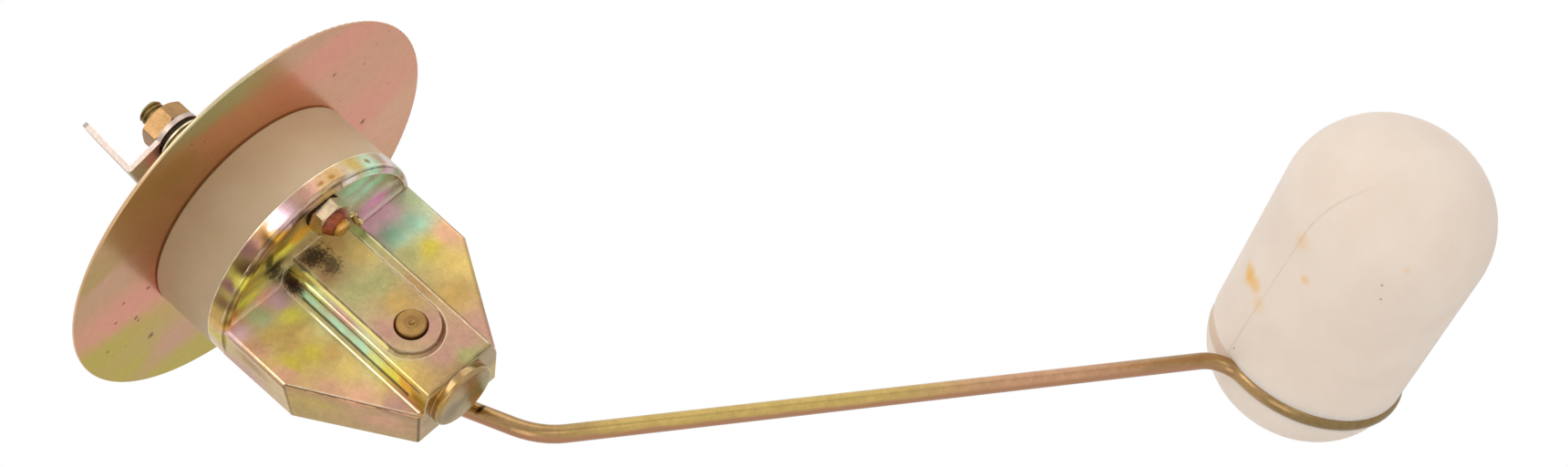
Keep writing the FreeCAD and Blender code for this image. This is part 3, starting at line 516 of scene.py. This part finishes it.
def wire_zinc():
    """The arm's film is gold on top, with painted shade in pinkish brown below and at its end by the can, as
    in the photograph.
    """
    shader = zinc("zinc_wire", [
        ((4, 11, -45), film["tan"]), ((32, 14, -58), film["straw"]), ((60, 22, -75), film["straw"]),
        ((95, 34, -95), film["blush"]), ((117, 46, -119), film["tan"]), ((126, 51, -134), film["olive"])],
        0.22, pits=0.3)
    gilt = shader.fed("Base Color")
    # Painted shade: pinkish brown on the side that faces down.
    normal = shader.node("ShaderNodeTexCoord", {}).outputs["Normal"]
    facing = shader.vector("DOT_PRODUCT", normal, tuple(down)).outputs["Value"]
    uneven = shader.math("MULTIPLY", shader.noise(6.0), 0.5)
    under = shader.smooth(shader.math("ADD", facing, uneven), 0.35, 0.85)
    under = shader.math("MULTIPLY", under, shader.smooth(shader.along("Z"), -118.0, -108.0))
    colour = shader.mix(under, gilt, rgb(190, 140, 106))
    # Painted shade at the arm's end by the can.
    dark = shader.patch(shader.place, (4.5, 10.0, -45.3), (1.6, 1.6, 0.6))
    shader.set(Base_Color=shader.mix(dark, colour, soot))
    return shader


def plain_metal(name, colour, roughness, depth=0.01, cloudy=0.3):
    """Metal with fine turning marks and slightly uneven tone."""
    shader = Shader(name)
    cloud = shader.noise(2.5, 4.0, 0.6)
    dark = tuple((1 - cloudy) * c for c in colour[:3]) + (1.0,)
    base = shader.mix(shader.smooth(cloud, 0.3, 0.7), dark, colour)
    grain = shader.noise(0.35, 3.0, 0.6)
    rough = shader.math("MULTIPLY", shader.math("ADD", grain, 0.5), roughness)
    shader.set(Base_Color=base, Metallic=1.0, Roughness=rough, Normal=shader.bump(grain, depth))
    return shader


def nylon(name, colour, shade, depth, side=None):
    """Natural nylon: pale, waxy, a little see-through, with a wavy moulded skin."""
    shader = Shader(name)
    cloud = shader.noise(11.0, 4.0, 0.55)
    base = shader.mix(shader.smooth(cloud, 0.3, 0.72), shade, colour)
    # Painted shade: where a side colour is given, the colour is multiplied by it towards -X.
    if side:
        base = shader.mix(shader.smooth(shader.along("X"), 10.0, -14.0), base, side, "MULTIPLY")
    fine = shader.noise(0.6, 3.0, 0.6)
    waves = shader.noise(3.2, 3.0, 0.55)
    shader.set(Base_Color=base, Roughness=0.46, Normal=shader.bump(fine, 0.01, shader.bump(waves, depth)),
               Subsurface_Weight=0.35, Subsurface_Scale=0.004, Subsurface_Radius=(1.0, 0.75, 0.5),
               Specular_IOR_Level=0.4)
    return shader


def float_plastic():
    """The float's pale moulding, with the stains and the parting line where the photograph has them."""
    shader = nylon("float_plastic", rgb(238, 222, 206), rgb(233, 215, 198), 0.03)
    colour = shader.fed("Base Color")
    where = shader.warped(1.2, 1.2)
    stains = [((126.3, 36.8, -107.4), 2.8, 0.85), ((125.0, 36.0, -109.4), 2.4, 0.6),
              ((127.3, 36.6, -105.6), 1.8, 0.45), ((123.2, 37.3, -111.9), 2.2, 0.3),
              ((128.1, 21.4, -112.5), 2.4, 0.3), ((125.6, 25.8, -116.7), 1.3, 0.45),
              ((133.1, 16.1, -129.2), 0.9, 0.3)]
    for place, radius, strength in stains:
        share = shader.patch(where, place, (radius, radius, radius), 0.1)
        colour = shader.mix(shader.math("MULTIPLY", share, strength), colour, rgb(240, 182, 66))
    for place in ((129.5, 22.0, -128.4), (129.9, 19.2, -127.4), (119.6, 47.4, -112.4)):
        dot = shader.patch(shader.place, place, (0.35, 0.35, 0.35))
        colour = shader.mix(shader.math("MULTIPLY", dot, 0.6), colour, rgb(120, 96, 78))
    plane = shader.vector("DOT_PRODUCT", shader.place, parting_normal).outputs["Value"]
    away = shader.math("ABSOLUTE", shader.math("SUBTRACT", plane, parting_reach))
    ridge = shader.smooth(away, 0.28, 0.05)
    faint = shader.math("MULTIPLY", ridge, shader.smooth(shader.noise(5.0), 0.3, 0.6))
    kept = shader.smooth(shader.along("X"), 140.0, 134.0)
    faint = shader.math("MULTIPLY", faint, kept)
    colour = shader.mix(shader.math("MULTIPLY", faint, 0.14), colour, rgb(150, 124, 104))
    skin = shader.fed("Normal")
    shader.set(Base_Color=colour, Normal=shader.bump(shader.math("MULTIPLY", ridge, kept), 0.05, skin))
    return shader


def simple(name, colour, roughness, depth, size=0.4):
    """A dull material with a fine, uneven tone."""
    shader = Shader(name)
    grain = shader.noise(size, 4.0, 0.6)
    dark = tuple(0.6 * c for c in colour[:3]) + (1.0,)
    shader.set(Base_Color=shader.mix(shader.smooth(grain, 0.3, 0.7), dark, colour),
               Roughness=roughness, Normal=shader.bump(grain, depth))
    return shader


def spindle_brass():
    """Turned brass with rings round the spindle's axis, a darker middle, and painted shade round the edge of
    its end.
    """
    shader = plain_metal("brass_spindle", rgb(178, 138, 82), 0.4)
    colour = shader.fed("Base Color")
    offset = shader.vector("MULTIPLY", shader.vector("SUBTRACT", shader.place, (0, 0, pivot_z)).outputs[0],
                           (1, 0, 1)).outputs[0]
    away = shader.vector("LENGTH", offset).outputs["Value"]
    rings = shader.math("SINE", shader.math("MULTIPLY", away, 26.0))
    # A darker ring about 0.95 mm from the axis.
    dark_band = shader.smooth(shader.math("ABSOLUTE", shader.math("SUBTRACT", away, 0.95)), 0.25, 0.05)
    colour = shader.mix(shader.math("MULTIPLY", dark_band, 0.35), colour, rgb(104, 74, 40))
    # Painted shade round the edge of the spindle's end.
    rim = shader.smooth(away, 1.95, 2.3)
    skin = shader.fed("Normal")
    shader.set(Base_Color=shader.mix(shader.math("MULTIPLY", rim, 0.4), colour, rgb(96, 66, 34)),
               Normal=shader.bump(rings, 0.004, skin))
    return shader


def tinned_tag():
    """Tinned sheet; its underside is dull, greenish, with a pink patch by the washer."""
    shader = plain_metal("tinned", rgb(198, 180, 168), 0.4, 0.002, 0.06)
    colour = shader.fed("Base Color")
    facing = shader.node("ShaderNodeTexCoord", {}).outputs["Normal"]
    under = shader.smooth(shader.along("Z", facing), -0.3, -0.7)
    low, high = (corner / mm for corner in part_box("spring_washer"))
    from_washer = shader.vector("DISTANCE", shader.place, tuple((low + high) / 2)).outputs["Value"]
    near = shader.smooth(from_washer, 7.4, 5.6)
    below = shader.mix(near, rgb(176, 176, 146), rgb(196, 146, 132))
    shader.set(Base_Color=shader.mix(under, colour, below),
               Metallic=shader.math("SUBTRACT", 1.0, shader.math("MULTIPLY", under, 0.85)))
    return shader


def washer_zinc():
    """A washer with painted shade under the spring washer, a painted highlight line, and an olive lower
    edge.
    """
    shader = plain_metal("washer_zinc", rgb(160, 140, 92), 0.34)
    colour = shader.fed("Base Color")
    low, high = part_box("terminal_washer")[0].z / mm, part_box("terminal_washer")[1].z / mm
    share = shader.math("DIVIDE", shader.math("SUBTRACT", shader.along("Z"), low), high - low)
    # Painted shade under the spring washer.
    colour = shader.mix(shader.smooth(share, 0.66, 0.8), colour, rgb(58, 48, 30))
    # A painted highlight line.
    colour = shader.mix(shader.band(share, 0.36, 0.66, 0.08), colour, rgb(246, 234, 206))
    shader.set(Base_Color=colour)
    return shader


def lacquer_red():
    """Glossy brownish red lacquer, uneven as it dried."""
    shader = Shader("lacquer")
    cloud = shader.noise(1.2, 3.0, 0.6)
    shader.set(Base_Color=shader.mix(shader.smooth(cloud, 0.3, 0.7), rgb(92, 36, 10), rgb(158, 74, 26)),
               Roughness=0.14, Specular_IOR_Level=0.3, Normal=shader.bump(cloud, 0.12))
    return shader


brass = plain_metal("brass", rgb(186, 144, 96), 0.34)
tinned = tinned_tag()
stud_zinc = plain_metal("stud_zinc", rgb(226, 176, 96), 0.27)
burr_zinc = plain_metal("burr_zinc", rgb(236, 210, 150), 0.35)
screw_brass = plain_metal("screw_brass", rgb(168, 148, 98), 0.34)
can_finish = can_zinc()

paint(flange_zinc(), "flange_plate")
paint(can_finish, "housing_shell", "back_cover")
paint(wire_zinc(), "float_arm", "arm_hub")
# The collar's side colour is painted shade on its -X side.
paint(nylon("nylon_collar", rgb(220, 194, 158), rgb(212, 184, 146), 0.04, (0.72, 0.7, 0.68, 1)), "collar")
paint(nylon("nylon_bush", rgb(206, 176, 130), rgb(190, 160, 116), 0.03), "terminal_bush")
paint(float_plastic(), "float")
paint(brass, "terminal_nut", "lead_tag", "card_rivets", "rear_bush", "wiper_hub")
paint(spindle_brass(), "pivot_spindle")
paint(tinned, "spade_terminal")
paint(plain_metal("bright_zinc", rgb(214, 206, 186), 0.34), "hub_screw")
paint(washer_zinc(), "terminal_washer")
paint(plain_metal("spring_steel", rgb(62, 52, 38), 0.5), "spring_washer")
paint(plain_metal("spring_bronze", rgb(190, 140, 96), 0.3), "wiper_blade")
paint(plain_metal("silver", rgb(226, 224, 218), 0.25), "wiper_contact")
paint(plain_metal("winding_wire", rgb(170, 158, 140), 0.4, depth=0.08), "resistance_winding")
paint(simple("card_board", rgb(110, 70, 42), 0.6, 0.02), "resistance_card", "card_spacers")
paint(simple("lead_sleeve", rgb(120, 40, 30), 0.5, 0.01), "lead_wire")
fibre = simple("fibre", rgb(62, 40, 20), 0.85, 0.02)
fibre.set(Specular_IOR_Level=0.1)
nut_zinc = plain_metal("nut_zinc", rgb(222, 196, 160), 0.3)
lacquer = lacquer_red()
for side in sides:
    paint(fibre, side + "_fixing_washer")
    paint(nut_zinc, side + "_fixing_nut")
    paint(lacquer, side + "_nut_seal")


def add_piece(name, form, shader, body="sender_body"):
    """A smooth piece of its own that rides on a body."""
    mesh = bpy.data.meshes.new(name)
    form.to_mesh(mesh)
    form.free()
    for face in mesh.polygons:
        face.use_smooth = True
    mesh.materials.append(shader.material)
    piece = bpy.data.objects.new(name, mesh)
    bpy.context.scene.collection.objects.link(piece)
    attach(piece, body)
    return piece


def thread_radius(radius, pitch, along, turn):
    """The radius of a thread's surface at a place along it and an angle."""
    phase = (along / pitch + turn / math.tau) % 1.0
    crest = min(1.0, max(0.0, crest_slope * abs(2 * phase - 1) - crest_flat))
    return radius - thread_depth * pitch * (1 - crest)


def rod(name, node, shader, sense, head, radius, pitch, tip):
    """A threaded screw or stud in place of a plain one. Sense is +1 where its tip points along +Z."""
    low, high = (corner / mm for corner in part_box(node))
    middle = (low + high) / 2
    foot = low.z if sense > 0 else high.z
    length = high.z - low.z
    rows = [(along, size, False) for along, size in head]
    start = head[-1][0]
    count = int((length - start) / pitch * thread_steps)
    rows += [(start + (length - start) * k / count, radius, True) for k in range(count + 1)]
    form = bmesh.new()
    rings = []
    for along, size, threaded in rows:
        ring = []
        for k in range(thread_sectors):
            turn = math.tau * k / thread_sectors
            reach = thread_radius(size, pitch, along, turn) if threaded else size
            reach = min(reach, radius - tip + length - along) if threaded else reach
            ring.append(form.verts.new((
                (middle.x + reach * math.cos(turn)) * mm,
                (middle.y + sense * reach * math.sin(turn)) * mm,
                (foot + sense * along) * mm)))
        rings.append(ring)
    for one, other in zip(rings, rings[1:]):
        for k in range(thread_sectors):
            after = (k + 1) % thread_sectors
            form.faces.new((one[k], one[after], other[after], other[k]))
    form.faces.new(list(reversed(rings[0])))
    form.faces.new(rings[-1])
    bmesh.ops.recalc_face_normals(form, faces=form.faces)
    piece = add_piece(name, form, shader)
    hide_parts(node)


def screw_head(size, height, edge, shank):
    """Rows of a round head with a softened edge, down to the shank."""
    return [(0, size - edge), (0.3 * edge, size - 0.3 * edge), (edge, size), (height, size), (height, shank)]


def burr(name, place, size, seed):
    """A small crumpled lump of metal at the nut, as in the photograph."""
    form = bmesh.new()
    bmesh.ops.create_icosphere(form, subdivisions=4, radius=1.0)
    for vert in form.verts:
        push = noise.noise_vector(vert.co * 1.6 + Vector((seed, 0, 0)))
        fine = noise.noise(vert.co * 5.0 + Vector((0, seed, 0)))
        shape = vert.co + 0.75 * push + 0.25 * fine * vert.co
        vert.co = (Vector(place) + Vector([a * b for a, b in zip(shape, size)])) * mm
    add_piece(name, form, burr_zinc)


screw_shape = screw_head(3.4, 2.2, 0.4, screw_radius)
stud_shape = screw_head(2.0, 0.5, 0.25, stud_radius)
rod("threaded_screw", "terminal_screw", screw_brass, 1, screw_shape, screw_radius,
    screw_pitch, 0.35)
for side in sides:
    rod(side + "_threaded_stud", side + "_fixing_stud", stud_zinc, -1, stud_shape,
        stud_radius, stud_pitch, 0.3)

# Without a seed, mathutils takes the offsets of its vector noise from the clock
noise.seed_set(1)
burr("burr_large", (7.1, -6.3, -14.4), (0.55, 0.7, 0.6), 3.0)
burr("burr_small", (7.0, -6.6, -15.8), (0.5, 0.5, 0.75), 8.0)

# Camera, from the photograph's viewing angle
focal_pixels = 3636.89
photo_width = 1720
sensor_width = 36.0
camera_data = bpy.data.cameras.new("camera")
camera_data.sensor_fit = "HORIZONTAL"
camera_data.sensor_width = sensor_width
camera_data.lens = sensor_width * focal_pixels / photo_width
camera_data.clip_start = 0.01
camera_data.clip_end = 20
camera = bpy.data.objects.new("camera", camera_data)
camera.matrix_world = Matrix((
    (right.x, -down.x, -view.x, camera_place.x),
    (right.y, -down.y, -view.y, camera_place.y),
    (right.z, -down.z, -view.z, camera_place.z),
    (0, 0, 0, 1)))
bpy.context.scene.collection.objects.link(camera)
bpy.context.scene.camera = camera


floor_size, floor_drop = 30.0, 0.45    # metres
reflected_sky, lit_sky = 0.12, 0.80    # the sky's extra strength in reflections, and its plain strength


def floor():
    """A plain pale floor below the part."""
    mesh = bpy.data.meshes.new("floor")
    form = bmesh.new()
    bmesh.ops.create_grid(form, x_segments=1, y_segments=1, size=floor_size)
    bmesh.ops.translate(form, verts=form.verts, vec=(0, 0, -floor_drop))
    form.to_mesh(mesh)
    form.free()
    shader = Shader("floor")
    shader.set(Base_Color=(0.86, 0.86, 0.86, 1), Roughness=0.8)
    mesh.materials.append(shader.material)
    plane = bpy.data.objects.new("floor", mesh)
    bpy.context.scene.collection.objects.link(plane)


def world():
    """White to the camera and in reflections, softer as a light."""
    sky = bpy.data.worlds.new("studio")
    sky.use_nodes = True
    tree = sky.node_tree
    background = tree.nodes["Background"]
    path = tree.nodes.new("ShaderNodeLightPath")
    seen = tree.nodes.new("ShaderNodeMath")
    seen.operation = "MAXIMUM"
    tree.links.new(path.outputs["Is Camera Ray"], seen.inputs[0])
    tree.links.new(path.outputs["Is Transmission Ray"], seen.inputs[1])
    shiny = tree.nodes.new("ShaderNodeMath")
    shiny.operation = "MULTIPLY_ADD"
    tree.links.new(path.outputs["Is Glossy Ray"], shiny.inputs[0])
    shiny.inputs[1].default_value = reflected_sky
    shiny.inputs[2].default_value = lit_sky
    level = tree.nodes.new("ShaderNodeMath")
    level.operation = "MAXIMUM"
    tree.links.new(seen.outputs[0], level.inputs[0])
    tree.links.new(shiny.outputs[0], level.inputs[1])
    background.inputs["Color"].default_value = (1, 1, 1, 1)
    tree.links.new(level.outputs[0], background.inputs["Strength"])
    bpy.context.scene.world = sky


def lamp(name, place, target, size, power):
    """A soft square lamp that faces a point of the part. Power is in watts."""
    data = bpy.data.lights.new(name, "AREA")
    data.shape = "SQUARE"
    data.size = size
    data.energy = power
    light = bpy.data.objects.new(name, data)
    light.location = place
    light.rotation_euler = (Vector(target) - Vector(place)).to_track_quat("-Z", "Y").to_euler()
    bpy.context.scene.collection.objects.link(light)


floor()
world()
middle = Vector((0.05, 0.0, -0.05))
up = -down
lamp("key", camera_place + 0.30 * up - 0.40 * right, middle, 0.40, 0.9)
lamp("fill", camera_place + 0.45 * right + 0.05 * up, middle, 0.5, 0.5)
lamp("top", middle + 0.75 * up - 0.1 * view, middle, 0.5, 0.6)
lamp("low", camera_place + 0.35 * down, middle, 0.5, 0.6)

bpy.context.scene.view_settings.view_transform = "Standard"
